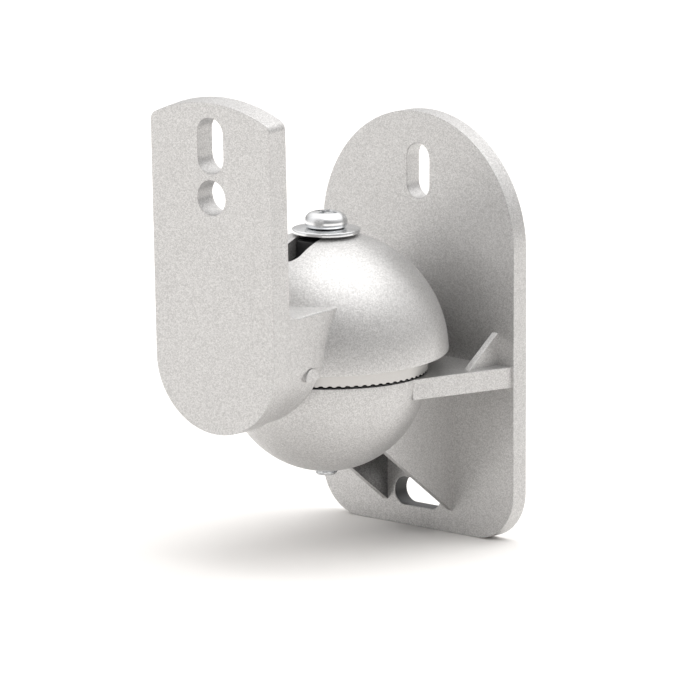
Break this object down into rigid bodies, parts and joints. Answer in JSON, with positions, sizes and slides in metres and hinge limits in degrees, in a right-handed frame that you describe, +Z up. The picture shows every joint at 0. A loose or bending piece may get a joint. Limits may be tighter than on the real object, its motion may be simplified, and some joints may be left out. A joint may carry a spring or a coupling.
{
  "type": "loudspeaker wall bracket",
  "caption": "Swivel and tilt wall bracket for a small loudspeaker: arched wall plate, toothed ball joint under a dome, and an upright speaker plate.",
  "frame": {"origin": "centre of the wall plate's back face, which lies on the wall", "axes": "+Y into the wall, -Y into the room towards the speaker, +X across the plate, +Z up"},
  "size_m": [0.057, 0.0757, 0.1045],
  "materials": {
    "silver_paint": "fine-grained silver metallic paint over a black moulding",
    "black_moulding": "bare black moulding, sprayed silver where it shows below the dome",
    "bright_zinc": "bright zinc-plated steel"
  },
  "bodies": {
    "wall": {"wall_bracket": "silver_paint", "captive_nut": "bright_zinc"},
    "ball": {"swivel_ball": "black_moulding"},
    "speaker": {"speaker_bracket": "silver_paint"},
    "washer": {"dished_washer": "bright_zinc"},
    "bolt": {"clamp_bolt": "bright_zinc"}
  },
  "joints": [
    {"name": "swivel", "type": "hinge", "parent": "wall", "child": "ball", "pos_m": [0, -0.0337, -0.0029], "axis": [0, 0, 1], "range_deg": [-75, 65]},
    {"name": "tilt", "type": "hinge", "parent": "ball", "child": "speaker", "pos_m": [0, -0.0337, -0.0029], "axis": [0.9962, 0.0872, 0], "range_deg": [-10, 10]},
    {"name": "screw_lift", "type": "slide", "parent": "wall", "child": "washer", "axis": [0, 0, 1], "range_m": [0, 0.0008]},
    {"name": "screw_turn", "type": "hinge", "parent": "washer", "child": "bolt", "pos_m": [0, -0.0337, -0.0029], "axis": [0, 0, 1], "range_deg": [0, 360]}
  ],
  "couplings": [
    {"joint": "screw_turn", "follows": "screw_lift", "rad_per_m": 7854}
  ]
}
